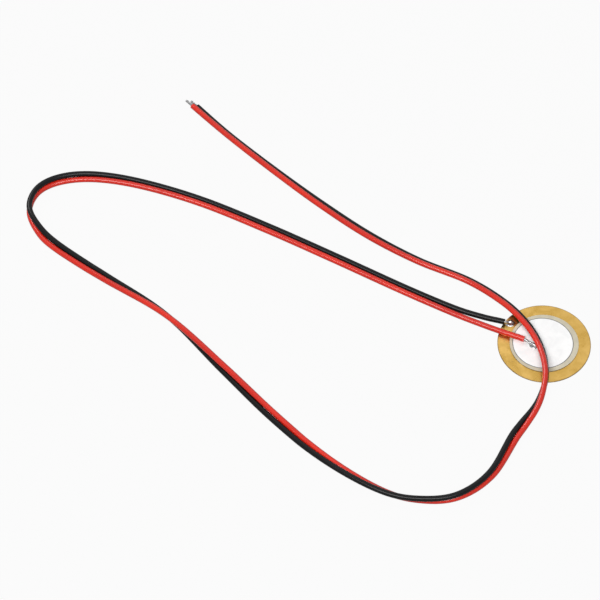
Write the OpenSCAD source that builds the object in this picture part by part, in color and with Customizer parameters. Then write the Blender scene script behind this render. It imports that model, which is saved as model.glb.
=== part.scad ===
// Piezo sounder disc with a red and black twin lead, in millimetres.
// The brass plate's axis is the Z axis and its underside is the plane z = 0,
// on which the lead lies too. The ceramic side faces up.

/* [Brass plate] */
// Diameter of the plate
plate_d = 27; // [26:0.25:29]
// Thickness of the plate
plate_t = 0.3; // [0.15:0.05:0.5]
// Radius that the stamping die leaves on the plate's upper edge
plate_edge_r = 0.08; // [0.02:0.01:0.12]

/* [Ceramic element] */
// Diameter of the ceramic disc
ceramic_d = 20; // [18:0.1:20.4]
// Thickness of the ceramic disc
ceramic_t = 0.2; // [0.1:0.05:0.4]
// Width of the bare ceramic ring round the upper electrode
bare_ring_w = 1.15; // [0.4:0.05:2]
// Distance by which the upper electrode's print sits off centre, towards the leads
print_offset = 0.35; // [0:0.05:0.35]
// Width of the bare ceramic ring round the lower electrode
lower_ring_w = 0.2; // [0.1:0.05:0.5]
// Thickness of each fired silver electrode
electrode_t = 0.01; // [0.01:0.005:0.03]
// Thickness of the adhesive film under the ceramic
film_t = 0.02; // [0.01:0.005:0.05]

/* [Solder joints] */
// Length of the rim joint along its wire
rim_joint_l = 3; // [2:0.1:3.1]
// Width of the rim joint across its wire
rim_joint_w = 2.5; // [1.6:0.1:3]
// Height of the rim joint
rim_joint_h = 1.15; // [0.9:0.05:1.5]
// Angle of the rim joint round the plate
rim_joint_angle = 143; // [140:1:146]
// Length of the electrode joint along its wire
electrode_joint_l = 2.7; // [1.8:0.1:2.8]
// Width of the electrode joint across its wire
electrode_joint_w = 2.1; // [1.4:0.1:2.4]
// Height of the electrode joint
electrode_joint_h = 1; // [0.7:0.05:1.2]
// Distance of the electrode joint from the plate's axis
electrode_joint_r = 3.2; // [2.8:0.1:3.6]
// Angle of the electrode joint round the plate
electrode_joint_angle = 198; // [190:1:206]
// Length of conductor that runs on past the peak of each joint
joint_overrun = 0.5; // [0.2:0.1:0.9]
// Share of each joint's length that lies on its wire's side of the peak
joint_tail = 0.58; // [0.5:0.02:0.7]
// Depth of solder under each conductor
joint_bed = 0.05; // [0.02:0.01:0.1]

/* [Leads] */
// Diameter over each wire's insulation
wire_d = 1.7; // [1.4:0.05:1.9]
// Diameter of each tinned conductor
conductor_d = 0.76; // [0.5:0.02:0.9]
// Gap between the two wires where they run as a pair
pair_gap = 0.05; // [0.02:0.01:0.1]
// Length of conductor bared at each free end
tip_l = 2.8; // [2:0.1:5]

/* [Hidden] */
$fn = 96;

// Levels of the stack, from the plate up.
film_z = plate_t;
lower_electrode_z = film_z + film_t;
ceramic_z = lower_electrode_z + electrode_t;
upper_electrode_z = ceramic_z + ceramic_t;
stack_top = upper_electrode_z + electrode_t;

// Each joint's middle on its pad.
rim_joint_r = (plate_d + ceramic_d) / 4;
rim_joint = [
    rim_joint_r * cos(rim_joint_angle),
    rim_joint_r * sin(rim_joint_angle),
    plate_t
];
electrode_joint = [
    electrode_joint_r * cos(electrode_joint_angle),
    electrode_joint_r * sin(electrode_joint_angle),
    stack_top
];

// Each wire is a twelve-sided tube, true to wire_d across its flats.
wire_sides = 12;
flat_turn = 180 / wire_sides;
wire_corner_r = wire_d / 2 / cos(flat_turn);

// The pair's middle line, from the disc to the free ends, one row a point:
// x, y, level (0 on the ground, 1 on top of the stack), roll of the pair
// (0 is flat with red on the left of the line), extra spread of the wires.
route = [
    [-4.2, 2.2, 1.15, 0, 2.2],
    [-8.7, 4, 1.1, 0, 2.1],
    [-13, 5.7, 0.75, 0, 1.7],
    [-18, 7.7, 0.3, 0, 0.9],
    [-26, 11.3, 0, 0, 0.2],
    [-40, 18.7, 0, 0, 0],
    [-60, 30, 0, 0, 0],
    [-80, 41, 0, 0, 0],
    [-100, 51, 0, 0, 0],
    [-118, 57.5, 0, -5, 0],
    [-132, 60, 0, -22, 0],
    [-142, 58.8, 0, -48, 0],
    [-148.5, 54.8, 0, -72, 0],
    [-150.9, 48, 0, -92, 0],
    [-148.3, 41, 0, -122, 0],
    [-142.6, 34.5, 0, -160, 0],
    [-127.6, 23, 0, -190, 0],
    [-109.4, 9.1, 0, -240, 0],
    [-92.9, -9.2, 0, -300, 0],
    [-77.5, -26.4, 0, -340, 0],
    [-62.2, -41, 0, -380, 0],
    [-47.3, -51.1, 0, -410, 0],
    [-36, -54, 0, -436, 0],
    [-25.8, -52.5, 0, -455, 0],
    [-16.7, -45.2, 0, -480, 0],
    [-9.4, -31.8, 0, -526, 0],
    [-3.2, -22.5, 0.1, -592, 0],
    [-0.5, -14.5, 0.85, -632, 0],
    [-0.3, -8, 1.15, -647, 0],
    [-1.8, -1, 1.15, -662, 0],
    [-5.2, 6, 1.15, -672, 0],
    [-11.2, 13.5, 0.65, -678, 0],
    [-21.3, 21.5, 0.1, -680, 0],
    [-35.9, 28.8, 0, -682, 0],
    [-50, 38, 0, -688, 0],
    [-64, 49.4, 0, -688, 0],
    [-78, 62, 0, -680, 0],
    [-92, 75.5, 0, -675, 0],
    [-102.6, 86.9, 0, -680, 0.25]
];

// Stations count the route's points from 0, and 3.5 is halfway from point 3 to point 4.
// The black wire starts at the plate's rim, and its free end is cut a little shorter.
last_station = len(route) - 1;
red_stations = [0.25, last_station];
black_stations = [1.75, last_station - 0.05];

// A smooth line through the route.
function point(i) = route[max(0, min(last_station, i))];
function smooth(a, b, c, d, t) =
    (2 * b + (c - a) * t + (2 * a - 5 * b + 4 * c - d) * t * t + (3 * b - a - 3 * c + d) * t * t * t) / 2;
function route_at(s) =
    let (i = floor(s))
    smooth(point(i - 1), point(i), point(i + 1), point(i + 2), s - i);

// Height of a wire's centre over the flat or corner that it lies on.
function foot(roll) = wire_corner_r * cos(abs(roll) % (2 * flat_turn) - flat_turn);

// Unit vector from the black wire to the red one.
station_step = 0.01;
function unit(v) = v / norm(v);
function across(s) =
    let (ahead = route_at(s + station_step) - route_at(s - station_step))
    let (left = unit([-ahead[1], ahead[0], 0]))
    let (roll = route_at(s)[3])
    left * cos(roll) + [0, 0, sin(roll)];

// Centre of a wire at a station; hand is 1 for red and -1 for black.
function wire_at(s, hand) =
    let (p = route_at(s))
    let (half = (wire_d + pair_gap + max(0, p[4])) / 2)
    let (lift = max(0, p[2]) * stack_top + foot(p[3]) + half * abs(sin(p[3])))
    [p[0], p[1], lift] + across(s) * half * hand;
function heading(s, hand) = unit(wire_at(s + station_step, hand) - wire_at(s - station_step, hand));

// Ring of corner points round a wire.
function ring(s, hand) =
    let (centre = wire_at(s, hand), along = heading(s, hand))
    let (out = unit(across(s) - along * (across(s) * along)))
    let (up = cross(along, out))
    [for (k = [0 : wire_sides - 1])
        let (turn = (2 * k + 1) * flat_turn)
        centre + wire_corner_r * (out * cos(turn) + up * sin(turn))];

// Three rings to each span of the route, and one at each end of the wire.
rings_per_span = 3;
function stations(ends) =
    let (first = floor(ends[0] * rings_per_span) + 1, last = ceil(ends[1] * rings_per_span) - 1)
    concat([ends[0]], [for (k = [first : last]) k / rings_per_span], [ends[1]]);

module wire(ends, hand) {
    line = stations(ends);
    n = wire_sides;
    last = len(line) - 1;
    corners = [for (s = line) each ring(s, hand)];
    sides = [for (i = [0 : last - 1], k = [0 : n - 1])
        let (a = i * n + k, b = i * n + (k + 1) % n)
        each [[a, a + n, b], [a + n, b + n, b]]];
    start_cap = [for (k = [1 : n - 2]) [0, k, k + 1]];
    end_cap = [for (k = [1 : n - 2]) [last * n, last * n + k + 1, last * n + k]];
    polyhedron(points = corners, faces = concat(sides, start_cap, end_cap));
}

// Puts the children's Z axis on a direction, from a point.
module aim(from, direction) {
    translate(from)
        rotate([0, acos(direction[2]), atan2(direction[1], direction[0])])
            children();
}

// Each bared conductor runs from the middle of the insulation's cut face down into the
// solder, just past the joint's peak, and is flush with that face where it starts.
function skin_end(ends, hand) = wire_at(ends[0], hand);
function inward(joint, ends, hand) =
    let (run = joint - skin_end(ends, hand))
    unit([run[0], run[1], 0]);
function conductor_stop(joint, ends, hand) =
    joint + inward(joint, ends, hand) * joint_overrun + [0, 0, joint_bed + conductor_d / 2];

module conductor_end(joint, ends, hand) {
    start = skin_end(ends, hand);
    run = conductor_stop(joint, ends, hand) - start;
    difference() {
        aim(start - unit(run) * conductor_d, unit(run))
            cylinder(d = conductor_d, h = norm(run) + conductor_d, $fn = 32);
        aim(start, heading(ends[0], hand))
            cylinder(d = wire_d, h = wire_d, $fn = 32);
    }
}

// Solder that wets its pad: a bell-shaped mound with a concave foot, egg-shaped in
// plan, with its peak at the origin and its long tail towards -X, where the wire comes in.
mound_rings = 8;
mound_sectors = 28;
mound_foot = 0.02;
function mound_z(share, height) = mound_foot + (height - mound_foot) * (1 + cos(180 * share)) / 2;
function mound_edge(turn, length, width) = [
    cos(turn) * length * (cos(turn) < 0 ? joint_tail : 1 - joint_tail),
    sin(turn) * width / 2
];

module mound(length, width, height) {
    n = mound_sectors;
    edge = [for (k = [0 : n - 1]) mound_edge(360 * k / n, length, width)];
    shell = [for (i = [1 : mound_rings], k = [0 : n - 1])
        let (share = i / mound_rings)
        [each edge[k] * share, mound_z(share, height)]];
    base = [for (k = [0 : n - 1]) [each edge[k], 0]];
    points = concat([[0, 0, height]], shell, base);
    crown = [for (k = [0 : n - 1]) [0, 1 + (k + 1) % n, 1 + k]];
    flanks = [for (i = [0 : mound_rings - 1], k = [0 : n - 1])
        let (a = 1 + i * n + k, b = 1 + i * n + (k + 1) % n)
        each [[a, b, b + n], [a, b + n, a + n]]];
    floor_face = [for (k = [n - 1 : -1 : 0]) 1 + mound_rings * n + (n - 1 - k)];
    polyhedron(points = points, faces = concat(crown, flanks, [floor_face]));
}

module solder_joint(joint, ends, hand, length, width, height) {
    facing = inward(joint, ends, hand);
    difference() {
        translate(joint)
            rotate(atan2(facing[1], facing[0]))
                mound(length, width, height);
        conductor_end(joint, ends, hand);
    }
}

module disc(diameter, thickness, z, x = 0) {
    translate([x, 0, z])
        cylinder(d = diameter, h = thickness);
}

module brass_plate() {
    r = plate_d / 2;
    corner = [for (a = [0 : 15 : 90])
        [r - plate_edge_r * (1 - cos(a)), plate_t - plate_edge_r * (1 - sin(a))]];
    color([0.85, 0.7, 0.34])
        rotate_extrude()
            polygon(concat([[0, 0], [r, 0]], corner, [[0, plate_t]]));
}

module bond_film() {
    color([0.35, 0.33, 0.3])
        disc(ceramic_d, film_t, film_z);
}

module lower_electrode() {
    color([0.8, 0.8, 0.78])
        disc(ceramic_d - 2 * lower_ring_w, electrode_t, lower_electrode_z);
}

module ceramic_disc() {
    color([0.8, 0.79, 0.73])
        disc(ceramic_d, ceramic_t, ceramic_z);
}

module upper_electrode() {
    color([0.93, 0.93, 0.92])
        disc(ceramic_d - 2 * bare_ring_w, electrode_t, upper_electrode_z, -print_offset);
}

module rim_solder_joint() {
    color([0.75, 0.75, 0.76])
        solder_joint(rim_joint, black_stations, -1, rim_joint_l, rim_joint_w, rim_joint_h);
}

module electrode_solder_joint() {
    color([0.75, 0.75, 0.76])
        solder_joint(
            electrode_joint, red_stations, 1, electrode_joint_l, electrode_joint_w, electrode_joint_h
        );
}

module red_conductor_end() {
    color([0.8, 0.8, 0.8])
        conductor_end(electrode_joint, red_stations, 1);
}

module black_conductor_end() {
    color([0.8, 0.8, 0.8])
        conductor_end(rim_joint, black_stations, -1);
}

module red_lead() {
    color([0.85, 0.16, 0.12])
        wire(red_stations, 1);
}

module black_lead() {
    color([0.1, 0.1, 0.11])
        wire(black_stations, -1);
}

module tinned_tip(ends, hand) {
    color([0.8, 0.8, 0.8])
        aim(wire_at(ends[1], hand), heading(ends[1], hand))
            cylinder(d = conductor_d, h = tip_l, $fn = 32);
}

module red_tinned_tip() {
    tinned_tip(red_stations, 1);
}

module black_tinned_tip() {
    tinned_tip(black_stations, -1);
}

brass_plate();
bond_film();
lower_electrode();
ceramic_disc();
upper_electrode();
rim_solder_joint();
electrode_solder_joint();
red_conductor_end();
black_conductor_end();
red_lead();
black_lead();
red_tinned_tip();
black_tinned_tip();
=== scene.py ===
import math

import bpy
import numpy as np
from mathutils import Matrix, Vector, noise


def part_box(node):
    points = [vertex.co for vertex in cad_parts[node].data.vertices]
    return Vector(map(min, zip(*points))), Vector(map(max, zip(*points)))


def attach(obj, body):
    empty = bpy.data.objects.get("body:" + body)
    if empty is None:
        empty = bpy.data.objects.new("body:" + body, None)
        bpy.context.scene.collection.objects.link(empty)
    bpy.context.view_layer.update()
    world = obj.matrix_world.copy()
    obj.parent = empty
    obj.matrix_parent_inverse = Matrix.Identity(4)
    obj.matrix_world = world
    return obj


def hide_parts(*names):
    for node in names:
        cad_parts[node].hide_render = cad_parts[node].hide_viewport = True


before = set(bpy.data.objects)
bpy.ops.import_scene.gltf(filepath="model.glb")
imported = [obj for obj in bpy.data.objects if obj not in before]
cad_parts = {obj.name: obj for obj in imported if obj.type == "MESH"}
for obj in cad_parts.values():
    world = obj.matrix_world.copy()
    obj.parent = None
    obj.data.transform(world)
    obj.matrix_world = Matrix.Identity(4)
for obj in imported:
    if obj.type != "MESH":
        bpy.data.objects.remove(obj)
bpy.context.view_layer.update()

mm = 0.001
stageScene = bpy.context.scene
stageScene.view_settings.view_transform = "Standard"
print("frame loaded with", len(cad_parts), "solids")


cameraSetup = {
    "place": (-0.07054, -0.54780, 0.79263),
    "lookDownDegrees": 54.594,
    "lens": 200.0,
    "sensor": 36.0,
    "clip": (0.01, 20.0),
}


def makeCamera(setup):
    data = bpy.data.cameras.new("viewCamera")
    data.lens = setup["lens"]
    data.sensor_width = setup["sensor"]
    data.clip_start, data.clip_end = setup["clip"]
    camera = bpy.data.objects.new("viewCamera", data)
    camera.location = setup["place"]
    camera.rotation_euler = (math.radians(90 - setup["lookDownDegrees"]), 0, 0)
    stageScene.collection.objects.link(camera)
    stageScene.camera = camera


makeCamera(cameraSetup)
print("camera placed")


# The pair's middle line from the disc to the free ends. A row is x and y in mm,
# level (0 on the ground, 1 on top of the electrode), roll in degrees, extra spread in mm.
leadRoute = [
    (-4.2, 2.2, 1.15, 0, 2.2),
    (-8.7, 4, 1.1, 0, 2.1),
    (-13, 5.7, 0.75, 0, 1.7),
    (-18, 7.7, 0.3, 0, 0.9),
    (-26, 11.3, 0, 0, 0.2),
    (-40, 18.7, 0, 0, 0),
    (-60, 30, 0, 0, 0),
    (-80, 41, 0, 0, 0),
    (-100, 51, 0, 0, 0),
    (-118, 57.5, 0, -5, 0),
    (-132, 60, 0, -22, 0),
    (-142, 58.8, 0, -48, 0),
    (-148.5, 54.8, 0, -72, 0),
    (-150.9, 48, 0, -92, 0),
    (-148.3, 41, 0, -122, 0),
    (-142.6, 34.5, 0, -160, 0),
    (-127.6, 23, 0, -190, 0),
    (-109.4, 9.1, 0, -240, 0),
    (-92.9, -9.2, 0, -300, 0),
    (-77.5, -26.4, 0, -340, 0),
    (-62.2, -41, 0, -380, 0),
    (-47.3, -51.1, 0, -410, 0),
    (-36, -54, 0, -436, 0),
    (-25.8, -52.5, 0, -455, 0),
    (-16.7, -45.2, 0, -480, 0),
    (-9.4, -31.8, 0, -526, 0),
    (-3.2, -22.5, 0.1, -592, 0),
    (-0.5, -14.5, 0.85, -632, 0),
    (-0.3, -8, 1.15, -647, 0),
    (-1.8, -1, 1.15, -662, 0),
    (-5.2, 6, 1.15, -672, 0),
    (-11.2, 13.5, 0.65, -678, 0),
    (-21.3, 21.5, 0.1, -680, 0),
    (-35.9, 28.8, 0, -682, 0),
    (-50, 38, 0, -688, 0),
    (-64, 49.4, 0, -688, 0),
    (-78, 62, 0, -680, 0),
    (-92, 75.5, 0, -675, 0),
    (-102.6, 86.9, 0, -680, 0.25),
]

leadBuild = {
    "wireDiameter": 1.7 * mm,
    "pairGap": 0.01 * mm,
    "conductorDiameter": 0.76 * mm,
    "bareTip": 2.8 * mm,
    "redEnds": (0.25, len(leadRoute) - 1),
    "blackEnds": (1.75, len(leadRoute) - 1.05),
    "routeSamples": 1600,
    "pointSpacing": 1.1 * mm,
    "endRun": 0.6 * mm,  # the even points stop this far from a cut end
    "endSteps": (0, 0.05, 0.15, 0.35, 0.65, 1, 3),  # close points there, in cut edges
    "aimPoint": 11,  # the point that a bare end is aimed from
    "sides": 36,
    "solidSides": 12,  # of the solid that the insulation stands for
    "cutEdge": 0.09 * mm,
    "unevenness": 0.006,
    "swellScale": 70.0,
    "swellMiddle": 0.7,
}
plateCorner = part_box("brass_plate")[1]
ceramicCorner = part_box("ceramic_disc")[1]
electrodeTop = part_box("upper_electrode")[1].z
wireRadius = leadBuild["wireDiameter"] / 2
sideTurn = 360 / leadBuild["solidSides"]
cornerRadius = wireRadius / math.cos(math.radians(sideTurn / 2))
routeUnits = np.array([mm, mm, 1, 1, mm])


def routeAt(station):
    # Smooth curve through the route's rows; station 2.5 is halfway from row 2 to row 3.
    start = math.floor(station)
    t = station - start
    last = len(leadRoute) - 1
    a, b, c, d = (routeUnits * leadRoute[max(0, min(last, start + k))] for k in (-1, 0, 1, 2))
    return (2 * b + (c - a) * t + (2 * a - 5 * b + 4 * c - d) * t**2
            + (3 * b - a - 3 * c + d) * t**3) / 2


def wirePoint(station, hand):
    # Middle of the red wire (hand 1) or the black one (hand -1), with the lower of the two
    # on the ground whatever the pair's roll.
    x, y, level, roll, spread = routeAt(station)
    ahead = routeAt(station + 0.01) - routeAt(station - 0.01)
    left = np.array([-ahead[1], ahead[0], 0]) / math.hypot(ahead[0], ahead[1])
    turn = math.radians(roll)
    half = (leadBuild["wireDiameter"] + leadBuild["pairGap"] + max(0, spread)) / 2
    foot = cornerRadius * math.cos(math.radians(abs(roll) % sideTurn - sideTurn / 2))
    height = max(0, level) * electrodeTop + foot + half * abs(math.sin(turn))
    across = left * math.cos(turn) + np.array([0, 0, math.sin(turn)])
    return np.array([x, y, height]) + across * half * hand


def lengthAlong(points):
    steps = np.linalg.norm(np.diff(points, axis=0), axis=1)
    return np.concatenate([[0], np.cumsum(steps)])


def pointsAt(places, run, dense):
    return np.stack([np.interp(places, run, dense[:, k]) for k in range(3)], axis=1)


def wireLine(ends, hand):
    # Evenly spaced points along one wire, with a few close ones at each cut end.
    build = leadBuild
    stations = np.linspace(ends[0], ends[1], build["routeSamples"])
    dense = np.array([wirePoint(s, hand) for s in stations])
    run = lengthAlong(dense)
    total = run[-1]
    close = np.array(build["endSteps"]) * build["cutEdge"]
    steps = int(total / build["pointSpacing"])
    even = np.linspace(build["endRun"], total - build["endRun"], steps)
    places = np.concatenate([close, even, total - close[::-1]])
    return pointsAt(places, run, dense), total


redLine, redLength = wireLine(leadBuild["redEnds"], 1)
blackLine, blackLength = wireLine(leadBuild["blackEnds"], -1)
print("lead routed, red", round(redLength, 4), "m, black", round(blackLength, 4), "m")


# Small helpers for node trees and meshes.
def addNode(tree, kind, inputs=None, **settings):
    node = tree.nodes.new(kind)
    for key, value in settings.items():
        setattr(node, key, value)
    for key, value in (inputs or {}).items():
        if isinstance(value, bpy.types.NodeSocket):
            tree.links.new(value, node.inputs[key])
        else:
            node.inputs[key].default_value = value
    return node


def newSurface(name):
    material = bpy.data.materials.new(name)
    material.use_nodes = True
    tree = material.node_tree
    tree.nodes.clear()
    shader = addNode(tree, "ShaderNodeBsdfPrincipled")
    addNode(tree, "ShaderNodeOutputMaterial", {"Surface": shader.outputs["BSDF"]})
    return material, tree, shader


def mapped(tree, source, scale, location=(0, 0, 0)):
    return addNode(tree, "ShaderNodeMapping", {
        "Vector": source, "Scale": scale, "Location": location,
    }).outputs["Vector"]


def objectCoords(tree):
    return addNode(tree, "ShaderNodeTexCoord").outputs["Object"]


def distanceOut(tree, place, centreX=0.0):
    # Distance from a round piece's upright axis.
    level = mapped(tree, place, (1.0, 1.0, 0.0), (-centreX, 0, 0))
    return addNode(tree, "ShaderNodeVectorMath", {0: level}, operation="LENGTH").outputs["Value"]


def noiseOf(tree, vector, scale, detail=3.0, roughness=0.5, distortion=0.0):
    return addNode(tree, "ShaderNodeTexNoise", {
        "Vector": vector, "Scale": scale, "Detail": detail,
        "Roughness": roughness, "Distortion": distortion,
    }).outputs["Fac"]


def ranged(tree, value, low, high, newLow=0.0, newHigh=1.0):
    return addNode(tree, "ShaderNodeMapRange", {
        "Value": value, "From Min": low, "From Max": high,
        "To Min": newLow, "To Max": newHigh,
    }, interpolation_type="SMOOTHSTEP").outputs["Result"]


def mathOf(tree, operation, a, b):
    return addNode(tree, "ShaderNodeMath", {0: a, 1: b}, operation=operation).outputs[0]


def blended(tree, factor, first, second):
    node = addNode(tree, "ShaderNodeMix", data_type="RGBA")
    for index, value in ((0, factor), (6, first), (7, second)):
        if isinstance(value, bpy.types.NodeSocket):
            tree.links.new(value, node.inputs[index])
        elif isinstance(value, tuple):
            node.inputs[index].default_value = (*value, 1.0)
        else:
            node.inputs[index].default_value = value
    return node.outputs[2]


def bumped(tree, height, strength, distance, under=None):
    inputs = {"Height": height, "Strength": strength, "Distance": distance}
    if under is not None:
        inputs["Normal"] = under
    return addNode(tree, "ShaderNodeBump", inputs).outputs["Normal"]


def meshPiece(name, vertices, faces, material, sharpDegrees=40):
    mesh = bpy.data.meshes.new(name)
    mesh.from_pydata([tuple(v) for v in vertices], [], faces)
    mesh.validate()
    mesh.polygons.foreach_set("use_smooth", [True] * len(mesh.polygons))
    mesh.set_sharp_from_angle(angle=math.radians(sharpDegrees))
    mesh.materials.append(material)
    piece = bpy.data.objects.new(name, mesh)
    stageScene.collection.objects.link(piece)
    return piece


def finishPiece(piece, node):
    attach(piece, "root")
    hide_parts(node)
    return piece


pvcLook = {
    "red": {"base": (0.68, 0.024, 0.009), "deep": (0.56, 0.015, 0.006), "gloss": (0.19, 0.23),
            "shine": 0.50},
    "black": {"base": (0.007, 0.007, 0.008), "deep": (0.005, 0.005, 0.005), "gloss": (0.22, 0.27),
              "shine": 0.20},
    "slowGrain": (0.35, 0.35, 55.0),
    "drawnLines": (7.0, 7.0, 90.0),
    "scuffGrain": (2.2, 2.2, 320.0),
    "refraction": 1.5,
    "lineDepth": 0.035 * mm,
}


def pvcMaterial(colourName):
    # Reads the skin attribute: across the wire in x and y, along it in z.
    look = pvcLook[colourName]
    material, tree, shader = newSurface(colourName + "Pvc")
    skin = addNode(tree, "ShaderNodeAttribute", attribute_name="skin").outputs["Vector"]
    slow = noiseOf(tree, mapped(tree, skin, pvcLook["slowGrain"]), 1.0, 3.0)
    lines = noiseOf(tree, mapped(tree, skin, pvcLook["drawnLines"]), 1.0, 4.0, 0.6)
    scuff = noiseOf(tree, mapped(tree, skin, pvcLook["scuffGrain"]), 1.0, 3.0, 0.6)
    tone = blended(tree, ranged(tree, slow, 0.3, 0.7), look["deep"], look["base"])
    tree.links.new(tone, shader.inputs["Base Color"])
    dull = ranged(tree, scuff, 0.35, 0.75, *look["gloss"])
    tree.links.new(dull, shader.inputs["Roughness"])
    shader.inputs["IOR"].default_value = pvcLook["refraction"]
    shader.inputs["Specular IOR Level"].default_value = look["shine"]
    wave = bumped(tree, slow, 0.25, pvcLook["lineDepth"] * 3)
    drawn = bumped(tree, lines, 0.07, pvcLook["lineDepth"], wave)
    tree.links.new(drawn, shader.inputs["Normal"])
    return material


tinLook = {
    "tinnedStrand": {
        "bright": (0.45, 0.45, 0.45), "dull": (0.21, 0.21, 0.22), "gloss": (0.20, 0.38),
        "patchScale": 2200.0, "fineScale": 15400.0, "bumpDepth": 0.01 * mm,
    },
    "brightSolder": {
        "bright": (0.58, 0.58, 0.57), "dull": (0.30, 0.30, 0.31), "gloss": (0.16, 0.34),
        "patchScale": 700.0, "fineScale": 4900.0, "bumpDepth": 0.02 * mm,
    },
}


def tinMaterial(name):
    look = tinLook[name]
    material, tree, shader = newSurface(name)
    place = objectCoords(tree)
    patches = noiseOf(tree, place, look["patchScale"], 4.0, 0.55, 0.3)
    fine = noiseOf(tree, place, look["fineScale"], 3.0)
    tone = blended(tree, ranged(tree, patches, 0.3, 0.7), look["dull"], look["bright"])
    tree.links.new(tone, shader.inputs["Base Color"])
    shader.inputs["Metallic"].default_value = 1.0
    tree.links.new(ranged(tree, fine, 0.3, 0.75, *look["gloss"]), shader.inputs["Roughness"])
    soft = bumped(tree, patches, 0.5, look["bumpDepth"])
    tree.links.new(bumped(tree, fine, 0.2, look["bumpDepth"] / 3, soft), shader.inputs["Normal"])
    return material


brassLook = {
    "light": (0.73, 0.475, 0.14),
    "deep": (0.59, 0.36, 0.08),
    "stain": (0.40, 0.25, 0.08),
    # Painted shade: the rim colour darkens a band at the plate's outer edge, standing in for the
    # shaded rolled edge.
    "rim": (0.26, 0.165, 0.06),
    "plateEdgeShadeBand": 0.34 * mm,
    "plateEdgeShadeShare": 0.9,
    "gloss": (0.24, 0.44),
    "cloudScale": 210.0,
    "speckScale": 900.0,
    "speckShare": 0.6,
    "rolledGrain": (60.0, 2600.0, 60.0),
    "grainDepth": 0.006 * mm,
    "scratchGrain": (2300.0, 90.0, 60.0),
    "scratchDepth": 0.008 * mm,
}


def brassMaterial(radius):
    look = brassLook
    material, tree, shader = newSurface("stampedBrass")
    place = objectCoords(tree)
    clouds = noiseOf(tree, place, look["cloudScale"], 5.0, 0.6, 0.6)
    specks = noiseOf(tree, place, look["speckScale"], 2.0, 0.5)
    grain = noiseOf(tree, mapped(tree, place, look["rolledGrain"]), 1.0, 3.0)
    scratches = noiseOf(tree, mapped(tree, place, look["scratchGrain"], (3, 1, 0)), 1.0, 2.0)
    tone = blended(tree, ranged(tree, clouds, 0.32, 0.68), look["deep"], look["light"])
    tone = blended(tree, ranged(tree, grain, 0.35, 0.8, 0.0, 0.18), tone, look["deep"])
    marked = mathOf(tree, "MULTIPLY", ranged(tree, specks, 0.67, 0.78), look["speckShare"])
    tone = blended(tree, marked, tone, look["stain"])
    # Painted shade: the outer edge band of the plate is blended toward the rim colour, where the
    # rolled edge lies in shade.
    inner = radius - look["plateEdgeShadeBand"]
    edge = ranged(tree, distanceOut(tree, place), inner, radius, 0.0, look["plateEdgeShadeShare"])
    tone = blended(tree, edge, tone, look["rim"])
    tree.links.new(tone, shader.inputs["Base Color"])
    shader.inputs["Metallic"].default_value = 1.0
    rough = ranged(tree, clouds, 0.3, 0.7, *look["gloss"])
    rough = mathOf(tree, "ADD", rough, mathOf(tree, "MULTIPLY", marked, 0.2))
    tree.links.new(rough, shader.inputs["Roughness"])
    rolled = bumped(tree, grain, 0.25, look["grainDepth"])
    scored = bumped(tree, ranged(tree, scratches, 0.70, 0.78), 0.3, look["scratchDepth"], rolled)
    tree.links.new(scored, shader.inputs["Normal"])
    return material


ceramicLook = {
    "pale": (0.61, 0.565, 0.44),
    "dark": (0.49, 0.45, 0.345),
    # Painted shade: the wall colour darkens the disc's side wall, which lies in shade.
    "wall": (0.22, 0.17, 0.07),
    "wallShadeBand": (0.05 * mm, 0.01 * mm),
    "cloudScale": 320.0,
    "grainScale": 6000.0,
    "grainDepth": 0.01 * mm,
    "roughness": 0.62,
}


def ceramicMaterial(radius):
    look = ceramicLook
    material, tree, shader = newSurface("bareCeramic")
    place = objectCoords(tree)
    clouds = noiseOf(tree, place, look["cloudScale"], 4.0, 0.6)
    grain = noiseOf(tree, place, look["grainScale"], 3.0, 0.6)
    tone = blended(tree, ranged(tree, clouds, 0.25, 0.75), look["dark"], look["pale"])
    tone = blended(tree, ranged(tree, grain, 0.58, 0.80, 0.0, 0.3), tone, look["dark"])
    # Painted shade on the side wall: a narrow band at the disc's outer radius turns dark.
    outer, inner = look["wallShadeBand"]
    wall = ranged(tree, distanceOut(tree, place), radius - outer, radius - inner)
    tone = blended(tree, wall, tone, look["wall"])
    tree.links.new(tone, shader.inputs["Base Color"])
    shader.inputs["Roughness"].default_value = look["roughness"]
    tree.links.new(bumped(tree, grain, 0.3, look["grainDepth"]), shader.inputs["Normal"])
    return material


silverLook = {
    "white": (0.93, 0.93, 0.925),
    "grey": (0.86, 0.86, 0.86),
    # Painted shade: a dark band at the film's outer edge stands in for the shadowed gap at its edge.
    "filmEdgeShade": (0.13, 0.13, 0.135),
    "filmEdgeShadeBand": (0.31 * mm, 0.14 * mm),
    "gloss": (0.42, 0.60),
    "metallic": 0.06,
    "cloudScale": 260.0,
    "meshPitch": 0.12 * mm,
    "meshDepth": 0.004 * mm,
    "fineScale": 5200.0,
    "fineDepth": 0.006 * mm,
}


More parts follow.
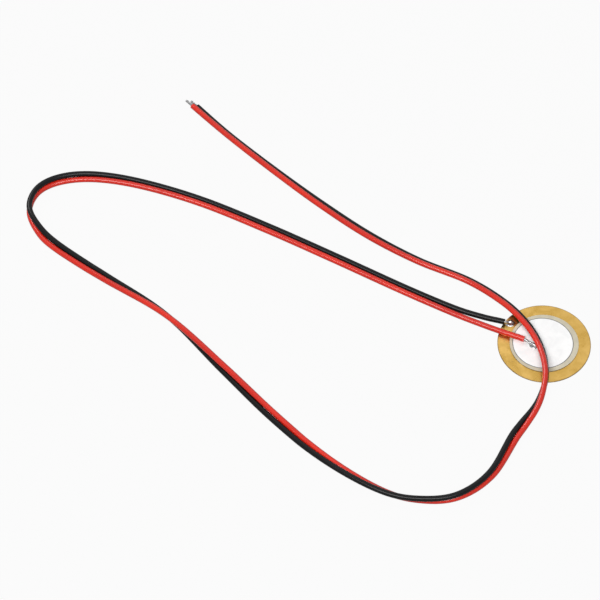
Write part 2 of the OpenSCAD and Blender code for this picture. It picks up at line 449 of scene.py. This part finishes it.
def silverMaterial(radius, centreX):
    look = silverLook
    material, tree, shader = newSurface("firedSilver")
    place = objectCoords(tree)
    reach = distanceOut(tree, place, centreX)
    clouds = noiseOf(tree, place, look["cloudScale"], 5.0, 0.6, 0.8)
    waveScale = 2 * math.pi / look["meshPitch"] / 20  # a wave texture turns 20 radians a unit
    printLines = addNode(tree, "ShaderNodeTexWave", {
        "Vector": mapped(tree, place, (1, 1, 0)), "Scale": waveScale, "Distortion": 2.0,
    }, bands_direction="DIAGONAL").outputs["Fac"]
    fine = noiseOf(tree, place, look["fineScale"], 3.0, 0.6)
    tone = blended(tree, ranged(tree, clouds, 0.3, 0.6), look["grey"], look["white"])
    # Painted shade along the film's outer edge.
    outer, inner = look["filmEdgeShadeBand"]
    edge = ranged(tree, reach, radius - outer, radius - inner)
    tone = blended(tree, edge, tone, look["filmEdgeShade"])
    tree.links.new(tone, shader.inputs["Base Color"])
    shader.inputs["Metallic"].default_value = look["metallic"]
    tree.links.new(ranged(tree, clouds, 0.3, 0.7, *look["gloss"]), shader.inputs["Roughness"])
    mesh = bumped(tree, printLines, 0.08, look["meshDepth"])
    tree.links.new(bumped(tree, fine, 0.25, look["fineDepth"], mesh), shader.inputs["Normal"])
    return material


adhesiveLook = {
    "dark": (0.22, 0.19, 0.15),
    "pale": (0.36, 0.32, 0.26),
    "grainScale": 2600.0,
    "roughness": 0.45,
}


def adhesiveMaterial():
    look = adhesiveLook
    material, tree, shader = newSurface("curedAdhesive")
    grain = noiseOf(tree, objectCoords(tree), look["grainScale"], 3.0)
    tone = blended(tree, grain, look["dark"], look["pale"])
    tree.links.new(tone, shader.inputs["Base Color"])
    shader.inputs["Roughness"].default_value = look["roughness"]
    return material


redPvc = pvcMaterial("red")
blackPvc = pvcMaterial("black")
tinnedStrand = tinMaterial("tinnedStrand")
brightSolder = tinMaterial("brightSolder")
stampedBrass = brassMaterial(plateCorner.x)
bareCeramic = ceramicMaterial(ceramicCorner.x)
print("finishes made")


# Geometry trees that grow a piece along a line of points.
def newTree(name, inputs):
    tree = bpy.data.node_groups.new(name, "GeometryNodeTree")
    tree.interface.new_socket("Geometry", in_out="INPUT", socket_type="NodeSocketGeometry")
    for label, kind in inputs:
        tree.interface.new_socket(label, in_out="INPUT", socket_type=kind)
    tree.interface.new_socket("Geometry", in_out="OUTPUT", socket_type="NodeSocketGeometry")
    return tree, addNode(tree, "NodeGroupInput").outputs


def closeTree(tree, geometry, material):
    whole = addNode(tree, "GeometryNodeRealizeInstances", {"Geometry": geometry})
    smooth = addNode(tree, "GeometryNodeSetShadeSmooth", {"Geometry": whole.outputs[0]})
    painted = addNode(tree, "GeometryNodeSetMaterial", {
        "Geometry": smooth.outputs[0], "Material": material,
    })
    addNode(tree, "NodeGroupOutput", {"Geometry": painted.outputs[0]})


def roundedEnds(tree, edge, full):
    # Radius factor that is 1 along the line and rolls over an edge at both ends.
    run = addNode(tree, "GeometryNodeSplineParameter").outputs["Length"]
    total = addNode(tree, "GeometryNodeSplineLength").outputs["Length"]
    nearest = mathOf(tree, "MINIMUM", run, mathOf(tree, "SUBTRACT", total, run))
    inside = mathOf(tree, "MINIMUM", mathOf(tree, "DIVIDE", nearest, edge), 1.0)
    back = mathOf(tree, "SUBTRACT", 1.0, inside)
    rest = mathOf(tree, "SUBTRACT", 1.0, mathOf(tree, "MULTIPLY", back, back))
    bow = mathOf(tree, "SQRT", rest, 0.0)
    missing = mathOf(tree, "MULTIPLY", mathOf(tree, "SUBTRACT", 1.0, bow), edge)
    return mathOf(tree, "SUBTRACT", 1.0, mathOf(tree, "DIVIDE", missing, full))


def radiusSet(tree, curve, factor):
    return addNode(tree, "GeometryNodeSetCurveRadius", {
        "Curve": curve, "Radius": factor,
    }).outputs[0]


def ringOf(tree, sides, radius):
    return addNode(tree, "GeometryNodeCurvePrimitiveCircle", {
        "Resolution": sides, "Radius": radius,
    }).outputs["Curve"]


def tubeAlong(tree, curve, ring):
    return addNode(tree, "GeometryNodeCurveToMesh", {
        "Curve": curve, "Profile Curve": ring, "Fill Caps": True,
    }).outputs[0]


def noted(tree, geometry, name, value, kind):
    return addNode(tree, "GeometryNodeStoreNamedAttribute", {
        "Geometry": geometry, "Name": name, "Value": value,
    }, data_type=kind, domain="POINT").outputs[0]


def readBack(tree, name, kind):
    return addNode(tree, "GeometryNodeInputNamedAttribute", {"Name": name},
                   data_type=kind).outputs["Attribute"]


def skinTree():
    # A tube that carries its own skin coordinates: round the wire in x and y, along it in z.
    tree, given = newTree("insulationSkin", [
        ("Radius", "NodeSocketFloat"), ("Cut Edge", "NodeSocketFloat"),
        ("Unevenness", "NodeSocketFloat"), ("Sides", "NodeSocketInt"),
        ("Surface", "NodeSocketMaterial"),
    ])
    line = addNode(tree, "GeometryNodeMeshToCurve", {"Mesh": given["Geometry"]}).outputs[0]
    run = addNode(tree, "GeometryNodeSplineParameter").outputs["Length"]
    line = noted(tree, line, "run", run, "FLOAT")
    swell = addNode(tree, "ShaderNodeTexNoise", {
        "Vector": addNode(tree, "GeometryNodeInputPosition").outputs[0],
        "Scale": leadBuild["swellScale"], "Detail": 1.0,
    }).outputs["Fac"]
    swell = mathOf(tree, "SUBTRACT", swell, leadBuild["swellMiddle"])
    uneven = mathOf(tree, "MULTIPLY", swell, given["Unevenness"])
    factor = mathOf(tree, "ADD", roundedEnds(tree, given["Cut Edge"], given["Radius"]), uneven)
    line = radiusSet(tree, line, factor)
    spoke = addNode(tree, "ShaderNodeVectorMath", {
        0: addNode(tree, "GeometryNodeInputPosition").outputs[0],
    }, operation="NORMALIZE").outputs[0]
    ring = noted(tree, ringOf(tree, given["Sides"], given["Radius"]), "spoke", spoke,
                 "FLOAT_VECTOR")
    tube = tubeAlong(tree, line, ring)
    around = readBack(tree, "spoke", "FLOAT_VECTOR")
    along = readBack(tree, "run", "FLOAT")
    parts = addNode(tree, "ShaderNodeSeparateXYZ", {0: around}).outputs
    skin = addNode(tree, "ShaderNodeCombineXYZ", {0: parts[0], 1: parts[1], 2: along}).outputs[0]
    tube = noted(tree, tube, "skin", skin, "FLOAT_VECTOR")
    closeTree(tree, tube, given["Surface"])
    return tree


def strandTree():
    # A core with strands wound round it, both rounded at their tips.
    tree, given = newTree("twistedStrands", [
        ("Strands", "NodeSocketInt"), ("Strand Radius", "NodeSocketFloat"),
        ("Strand Sides", "NodeSocketInt"), ("Lay Radius", "NodeSocketFloat"),
        ("Core Radius", "NodeSocketFloat"), ("Core Sides", "NodeSocketInt"),
        ("Turns Per Metre", "NodeSocketFloat"), ("Tip Round", "NodeSocketFloat"),
        ("Surface", "NodeSocketMaterial"),
    ])
    line = addNode(tree, "GeometryNodeMeshToCurve", {"Mesh": given["Geometry"]}).outputs[0]
    copies = addNode(tree, "GeometryNodeDuplicateElements", {
        "Geometry": line, "Amount": given["Strands"],
    }, domain="SPLINE")
    share = mathOf(tree, "DIVIDE", copies.outputs["Duplicate Index"], given["Strands"])
    run = addNode(tree, "GeometryNodeSplineParameter").outputs["Length"]
    turns = mathOf(tree, "ADD", share, mathOf(tree, "MULTIPLY", run, given["Turns Per Metre"]))
    angle = mathOf(tree, "MULTIPLY", turns, 2 * math.pi)
    side = addNode(tree, "GeometryNodeInputNormal").outputs[0]
    ahead = addNode(tree, "GeometryNodeInputTangent").outputs[0]
    above = addNode(tree, "ShaderNodeVectorMath", {0: ahead, 1: side},
                    operation="CROSS_PRODUCT").outputs[0]
    arms = []
    for direction, operation in ((side, "COSINE"), (above, "SINE")):
        reach = mathOf(tree, "MULTIPLY", mathOf(tree, operation, angle, 0.0), given["Lay Radius"])
        arm = addNode(tree, "ShaderNodeVectorMath", {0: direction}, operation="SCALE")
        tree.links.new(reach, arm.inputs["Scale"])
        arms.append(arm.outputs[0])
    offset = addNode(tree, "ShaderNodeVectorMath", {0: arms[0], 1: arms[1]}).outputs[0]
    wound = addNode(tree, "GeometryNodeSetPosition", {
        "Geometry": copies.outputs["Geometry"], "Offset": offset,
    }).outputs[0]
    bundle = addNode(tree, "GeometryNodeJoinGeometry")
    for curve, radius, sides in (
            (wound, given["Strand Radius"], given["Strand Sides"]),
            (line, given["Core Radius"], given["Core Sides"])):
        curve = radiusSet(tree, curve, roundedEnds(tree, given["Tip Round"], radius))
        tree.links.new(tubeAlong(tree, curve, ringOf(tree, sides, radius)), bundle.inputs[0])
    closeTree(tree, bundle.outputs[0], given["Surface"])
    return tree


def growAlong(name, points, tree, settings, sharpDegrees=50):
    # Runs a tree on a line of points and keeps the result as a plain mesh.
    line = bpy.data.meshes.new(name + "Line")
    line.from_pydata([tuple(p) for p in points], [(k, k + 1) for k in range(len(points) - 1)], [])
    host = bpy.data.objects.new(name + "Host", line)
    stageScene.collection.objects.link(host)
    modifier = host.modifiers.new("grow", "NODES")
    modifier.node_group = tree
    for item in tree.interface.items_tree:
        if item.in_out == "INPUT" and item.name in settings:
            modifier[item.identifier] = settings[item.name]
    bpy.context.view_layer.update()
    graph = bpy.context.evaluated_depsgraph_get()
    mesh = bpy.data.meshes.new_from_object(host.evaluated_get(graph))
    host.modifiers.remove(modifier)
    bpy.data.objects.remove(host)
    mesh.name = name
    mesh.set_sharp_from_angle(angle=math.radians(sharpDegrees))
    piece = bpy.data.objects.new(name, mesh)
    stageScene.collection.objects.link(piece)
    return piece


insulationSkin = skinTree()


def insulation(name, line, material):
    return growAlong(name, line, insulationSkin, {
        "Radius": wireRadius, "Cut Edge": leadBuild["cutEdge"],
        "Unevenness": leadBuild["unevenness"], "Sides": leadBuild["sides"],
        "Surface": material,
    })


redLead = insulation("redLead", redLine, redPvc)
blackLead = insulation("blackLead", blackLine, blackPvc)
finishPiece(redLead, "red_lead")
finishPiece(blackLead, "black_lead")
print("insulation drawn,", len(redLead.data.polygons) + len(blackLead.data.polygons), "faces")


strandBuild = {
    "strands": 6,
    "strandRadius": 0.125 * mm,
    "strandSides": 12,
    "layRadius": 0.253 * mm,
    "coreRadius": 0.315 * mm,
    "coreSides": 20,
    "turnsPerMetre": 95.0,
    "tipRound": 0.10 * mm,
    "insideInsulation": 0.5 * mm,
    "step": 0.06 * mm,
    "fewestPoints": 12,
    "curveSamples": 200,
}
twistedStrands = strandTree()


def smoothLine(corners):
    # Cubic curve on four corner points, evenly spaced.
    build = strandBuild
    a, b, c, d = np.array(corners)
    t = np.linspace(0, 1, build["curveSamples"])[:, None]
    dense = a * (1 - t)**3 + 3 * b * t * (1 - t)**2 + 3 * c * t**2 * (1 - t) + d * t**3
    run = lengthAlong(dense)
    count = max(build["fewestPoints"], int(run[-1] / build["step"]))
    return pointsAt(np.linspace(0, run[-1], count), run, dense)


def strands(name, points):
    build = strandBuild
    return growAlong(name, points, twistedStrands, {
        "Strands": build["strands"], "Strand Radius": build["strandRadius"],
        "Strand Sides": build["strandSides"], "Lay Radius": build["layRadius"],
        "Core Radius": build["coreRadius"], "Core Sides": build["coreSides"],
        "Turns Per Metre": build["turnsPerMetre"], "Tip Round": build["tipRound"],
        "Surface": tinnedStrand,
    }, sharpDegrees=70)


def outward(line):
    # Direction in which a wire leaves its insulation, at the first of its points.
    way = line[0] - line[leadBuild["aimPoint"]]
    return way / np.linalg.norm(way)


def freeTip(name, line):
    # Straight on from the insulation's end, starting a little inside it.
    end, ahead = line[-1], outward(line[::-1])
    start = end - ahead * strandBuild["insideInsulation"]
    stop = end + ahead * leadBuild["bareTip"]
    third = (stop - start) / 3
    return strands(name, smoothLine([start, start + third, stop - third, stop]))


redTip = finishPiece(freeTip("redTip", redLine), "red_tinned_tip")
blackTip = finishPiece(freeTip("blackTip", blackLine), "black_tinned_tip")

jointBuild = {
    "rim": {
        "radius": (plateCorner.x + ceramicCorner.x) / 2, "degrees": 143, "pad": plateCorner.z,
        "length": 3.0 * mm, "width": 2.5 * mm, "height": 1.15 * mm, "seed": 4.0,
    },
    "electrode": {
        "radius": 3.2 * mm, "degrees": 198, "pad": electrodeTop,
        "length": 2.7 * mm, "width": 2.1 * mm, "height": 1.0 * mm, "seed": 9.0,
    },
    "leaveRun": 0.7 * mm,
    "arriveRun": 1.2 * mm,
    "overrun": 0.5 * mm,  # the conductor ends this far past the mound's middle
    "bed": 0.05 * mm,
    "tail": 0.58,  # share of the mound's length on the wire's side
    "foot": 0.015 * mm,
    "coat": 0.07 * mm,
    "bareBelow": 0.12 * mm,
    "fadeStart": 0.95,
    "fadeLength": 0.55,
    "rise": 0.55,
    "blend": 0.22 * mm,
    "leastBlend": 0.02 * mm,
    "outlineScale": 2,
    "outlineWobble": 0.05,
    "outlineDraw": 0.6,
    "surfaceScale": 1.6,
    "surfaceWobble": 0.03 * mm,
    "sectors": 120,
    "rings": 44,
}


def jointPlace(joint):
    turn, radius = math.radians(joint["degrees"]), joint["radius"]
    return np.array([radius * math.cos(turn), radius * math.sin(turn), joint["pad"]])


def jointFacing(joint, line):
    run = jointPlace(joint) - line[0]
    run[2] = 0
    return run / np.linalg.norm(run)


def conductorStop(joint, line):
    lift = jointBuild["bed"] + leadBuild["conductorDiameter"] / 2
    past = jointFacing(joint, line) * jointBuild["overrun"]
    return jointPlace(joint) + past + np.array([0, 0, lift])


def solderedEnd(name, joint, line):
    # Leaves the insulation straight, then bends down into the joint.
    start, ahead = line[0], outward(line)
    stop = conductorStop(joint, line)
    inside = start - ahead * strandBuild["insideInsulation"]
    leave = start + ahead * jointBuild["leaveRun"]
    arrive = stop - jointFacing(joint, line) * jointBuild["arriveRun"]
    return strands(name, smoothLine([inside, leave, arrive, stop]))


redEnd = solderedEnd("redSolderedEnd", jointBuild["electrode"], redLine)
blackEnd = solderedEnd("blackSolderedEnd", jointBuild["rim"], blackLine)
finishPiece(redEnd, "red_conductor_end")
finishPiece(blackEnd, "black_conductor_end")

for lead, line, length, joint, pieces in (
        (redLead, redLine, redLength, "electrode", [redTip, redEnd]),
        (blackLead, blackLine, blackLength, "rim", [blackTip, blackEnd])):
    conductorStop(jointBuild[joint], line)
print("conductors twisted")


def smoothMax(a, b, width):
    # The larger of two heights, with a fillet where they are closer than the width.
    near = max(width - abs(a - b), 0) / width
    return max(a, b) + near * near * width / 4


def ringNoise(turn, scale, depth):
    # Noise that closes on itself round a circle.
    return noise.noise((math.cos(turn) * scale, math.sin(turn) * scale, depth))


def solderJoint(name, joint, line):
    # A mound on the pad, egg-shaped in plan, that also wets over the conductor.
    build = jointBuild
    place, facing = jointPlace(joint), jointFacing(joint, line)
    side = np.array([-facing[1], facing[0], 0])
    radius = leadBuild["conductorDiameter"] / 2
    stopX, stopZ = build["overrun"], build["bed"] + radius
    startX = -np.linalg.norm((line[0] - place)[:2])
    slope = (line[0][2] - joint["pad"] - stopZ) / (stopX - startX)
    tail = build["tail"] * joint["length"]
    nose = (1 - build["tail"]) * joint["length"]

    def heightAt(x, y, share):
        bell = build["foot"] + (joint["height"] - build["foot"]) * (1 + math.cos(math.pi * share)) / 2
        fade = min(1, max(0, (x + tail * build["fadeStart"]) / (tail * build["fadeLength"])))
        coated = radius + build["coat"] * fade - build["bareBelow"] * (1 - fade)
        beyond = max(0, x - stopX)
        room = coated**2 - y**2 - beyond**2
        if room <= 0:
            return bell
        axis = stopZ + slope * build["rise"] * max(0, stopX - x)
        width = build["blend"] * fade + build["leastBlend"]
        return smoothMax(bell, axis + math.sqrt(room), width)

    def moundPoint(share, turn):
        wobble = build["outlineWobble"] * ringNoise(turn, build["outlineScale"], joint["seed"])
        out = 1 + wobble - build["outlineWobble"] * build["outlineDraw"]
        x = share * out * math.cos(turn) * (tail if math.cos(turn) < 0 else nose)
        y = share * out * math.sin(turn) * joint["width"] / 2
        spot = (x / mm * build["surfaceScale"], y / mm * build["surfaceScale"], joint["seed"])
        lump = build["surfaceWobble"] * noise.noise(spot) * (1 - share**4)
        return place + facing * x + side * y + np.array([0, 0, heightAt(x, y, share) + lump])

    n, rings = build["sectors"], build["rings"]
    vertices = [place + np.array([0, 0, heightAt(0, 0, 0)])]
    for i in range(1, rings + 1):
        vertices += [moundPoint(i / rings, 2 * math.pi * k / n) for k in range(n)]
    for rim in vertices[-n:]:
        vertices.append(np.array([rim[0], rim[1], joint["pad"]]))
    faces = [(0, 1 + k, 1 + (k + 1) % n) for k in range(n)]
    for i in range(rings):
        for k in range(n):
            a, b = 1 + i * n + k, 1 + i * n + (k + 1) % n
            faces.append((a, a + n, b + n, b))
    faces.append(tuple(range(rings * n + n, rings * n, -1)))
    return meshPiece(name, vertices, faces, brightSolder, 80)


electrodeSolder = solderJoint("electrodeSolder", jointBuild["electrode"], redLine)
rimSolder = solderJoint("rimSolder", jointBuild["rim"], blackLine)
finishPiece(electrodeSolder, "electrode_solder_joint")
finishPiece(rimSolder, "rim_solder_joint")
print("solder joints flowed")


def spun(name, profile, segments, material, centreX=0.0, edgeWobble=None):
    # Turns an outline of (radius, z) points, from the lower pole to the upper one.
    vertices = [(centreX, 0, profile[0][1])]
    for radius, z in profile[1:-1]:
        for k in range(segments):
            turn = 2 * math.pi * k / segments
            r = radius if edgeWobble is None else edgeWobble(radius, z, turn)
            vertices.append((centreX + r * math.cos(turn), r * math.sin(turn), z))
    vertices.append((centreX, 0, profile[-1][1]))
    top = len(vertices) - 1
    faces = [(0, 1 + (k + 1) % segments, 1 + k) for k in range(segments)]
    for i in range(len(profile) - 3):
        for k in range(segments):
            a, b = 1 + i * segments + k, 1 + i * segments + (k + 1) % segments
            faces.append((a, b, b + segments, a + segments))
    last = top - segments
    faces += [(last + k, last + (k + 1) % segments, top) for k in range(segments)]
    return meshPiece(name, vertices, faces, material)


plateBuild = {"lowerEdge": 0.025 * mm, "rollOver": 0.08 * mm, "rollSteps": 6, "segments": 360}


def brassPlate():
    # A stamping: its lower edge is hardly broken, its upper one rolls over.
    build = plateBuild
    radius, top, cut = plateCorner.x, plateCorner.z, build["lowerEdge"]
    profile = [(0, 0), (radius * 0.5, 0), (radius - cut, 0), (radius, cut)]
    for k in range(build["rollSteps"] + 1):
        turn = math.pi / 2 * k / build["rollSteps"]
        profile.append((radius - build["rollOver"] * (1 - math.cos(turn)),
                        top - build["rollOver"] * (1 - math.sin(turn))))
    profile += [(radius * 0.5, top), (0, top)]
    return spun("brassPlate", profile, build["segments"], stampedBrass)


ceramicBuild = {
    "edge": 0.02 * mm,
    "roughScale": 14,
    "roughDepth": 0.006 * mm,
    "chipScale": 5,
    "chipFrom": 0.25,
    "chipDepth": 0.07 * mm,
    "chipShares": (1.5, 0.4),  # of a chip's depth at the upper edge and on the wall
    "segments": 540,
    "seed": 3.0,
}


def ceramicDisc():
    build = ceramicBuild
    low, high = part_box("ceramic_disc")
    radius, edge = high.x, build["edge"]

    def chipped(r, z, turn):
        if r < radius - 3 * edge or z < low.z + edge / 2:
            return r
        rough = ringNoise(turn, build["roughScale"], build["seed"] + z / mm)
        chip = max(0, ringNoise(turn, build["chipScale"], build["seed"]) - build["chipFrom"])
        share = build["chipShares"][0 if z > high.z - edge * 1.5 else 1]
        return r - build["roughDepth"] * (1 + rough) - build["chipDepth"] * chip * share

    profile = [(0, low.z), (radius - edge, low.z), (radius, low.z + edge), (radius, high.z - edge),
               (radius - edge, high.z), (radius * 0.8, high.z), (0, high.z)]
    return spun("ceramicDisc", profile, build["segments"], bareCeramic, 0.0, chipped)


electrodeBuild = {"wobbleScale": 22, "wobble": 0.02 * mm, "segments": 540, "seed": 6.0}


def upperElectrode():
    build = electrodeBuild
    low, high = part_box("upper_electrode")
    radius, centreX = (high.x - low.x) / 2, (high.x + low.x) / 2

    def printed(r, z, turn):
        if r < radius * 0.9:
            return r
        rough = ringNoise(turn, build["wobbleScale"], build["seed"])
        return r - build["wobble"] * (0.5 + 0.5 * rough)

    thick = high.z - low.z
    profile = [(0, low.z), (radius, low.z), (radius - thick / 2, high.z), (radius * 0.8, high.z),
               (0, high.z)]
    return spun("upperElectrode", profile, build["segments"], silverMaterial(radius, centreX),
                centreX, printed)


finishPiece(brassPlate(), "brass_plate")
finishPiece(ceramicDisc(), "ceramic_disc")
finishPiece(upperElectrode(), "upper_electrode")
hiddenFinishes = {
    "bond_film": adhesiveMaterial(),
    "lower_electrode": silverMaterial(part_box("lower_electrode")[1].x, centreX=0.0),
}
for node, material in hiddenFinishes.items():
    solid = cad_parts[node]
    solid.data.materials.clear()
    solid.data.materials.append(material)
print("disc built")


stageSetup = {
    "floorSize": 8.0,
    "floorDrop": 0.02 * mm,
    "floorColour": (0.36, 0.36, 0.36),
    "floorLift": 0.94,
    "floorShine": 0.35,
    "surroundDiffuse": 0.17,
    "surroundHorizon": 0.55,
    "brightSide": (0, 0.58, 0.81),
    "brightSpread": (0.60, 0.97),
    "lamps": {
        "keyLamp": {"place": (-0.22, -0.76, 1.22), "size": (1.50, 0.62), "watts": 22.3},
        "fillLamp": {"place": (-0.68, 0.72, 0.78), "size": (0.50, 0.50), "watts": 4.0},
    },
    "lampAim": (-0.06, 0.02, 0),
}


def rayKinds(tree):
    rays = addNode(tree, "ShaderNodeLightPath").outputs
    return rays, mathOf(tree, "MAXIMUM", rays["Is Glossy Ray"], rays["Is Transmission Ray"])


def makeFloor(setup):
    # Keeps the object's shadow, and looks white to the camera and pale in metal.
    half = setup["floorSize"] / 2
    corners = [(x * half, y * half, -setup["floorDrop"])
               for x, y in ((-1, -1), (1, -1), (1, 1), (-1, 1))]
    mesh = bpy.data.meshes.new("floor")
    mesh.from_pydata(corners, [], [(0, 1, 2, 3)])
    material = bpy.data.materials.new("paleFloor")
    material.use_nodes = True
    tree = material.node_tree
    tree.nodes.clear()
    matte = addNode(tree, "ShaderNodeBsdfDiffuse", {"Color": (*setup["floorColour"], 1)})
    glow = addNode(tree, "ShaderNodeEmission", {"Color": (1, 1, 1, 1), "Strength": 1.0})
    rays, mirrored = rayKinds(tree)
    lifted = mathOf(tree, "MULTIPLY", rays["Is Camera Ray"], setup["floorLift"])
    shining = mathOf(tree, "MULTIPLY", mirrored, setup["floorShine"])
    share = mathOf(tree, "MAXIMUM", lifted, shining)
    mixed = addNode(tree, "ShaderNodeMixShader", {0: share, 1: matte.outputs[0], 2: glow.outputs[0]})
    addNode(tree, "ShaderNodeOutputMaterial", {"Surface": mixed.outputs[0]})
    mesh.materials.append(material)
    floor = bpy.data.objects.new("floor", mesh)
    stageScene.collection.objects.link(floor)


def makeSurround(setup):
    # White to the camera, weak as light, and brightest overhead behind the object in metal.
    world = bpy.data.worlds.new("studioSurround")
    stageScene.world = world
    world.use_nodes = True
    tree = world.node_tree
    tree.nodes.clear()
    rays, mirrored = rayKinds(tree)
    direction = addNode(tree, "ShaderNodeTexCoord").outputs["Generated"]
    toward = addNode(tree, "ShaderNodeVectorMath", {0: direction, 1: setup["brightSide"]},
                     operation="DOT_PRODUCT").outputs["Value"]
    shown = ranged(tree, toward, *setup["brightSpread"], setup["surroundHorizon"], 1.0)
    lit = addNode(tree, "ShaderNodeMix", {0: mirrored, 2: setup["surroundDiffuse"], 3: shown})
    strength = mathOf(tree, "MAXIMUM", rays["Is Camera Ray"], lit.outputs[0])
    back = addNode(tree, "ShaderNodeBackground", {"Color": (1, 1, 1, 1), "Strength": strength})
    addNode(tree, "ShaderNodeOutputWorld", {"Surface": back.outputs[0]})


def makeLamp(name, lamp, aim):
    data = bpy.data.lights.new(name, "AREA")
    data.shape = "RECTANGLE"
    data.size, data.size_y = lamp["size"]
    data.energy = lamp["watts"]
    holder = bpy.data.objects.new(name, data)
    holder.location = lamp["place"]
    toAim = Vector(aim) - Vector(lamp["place"])
    holder.rotation_euler = toAim.to_track_quat("-Z", "Y").to_euler()
    holder.visible_camera = False
    stageScene.collection.objects.link(holder)


makeFloor(stageSetup)
makeSurround(stageSetup)
for lampName, lamp in stageSetup["lamps"].items():
    makeLamp(lampName, lamp, stageSetup["lampAim"])
print("stage lit")
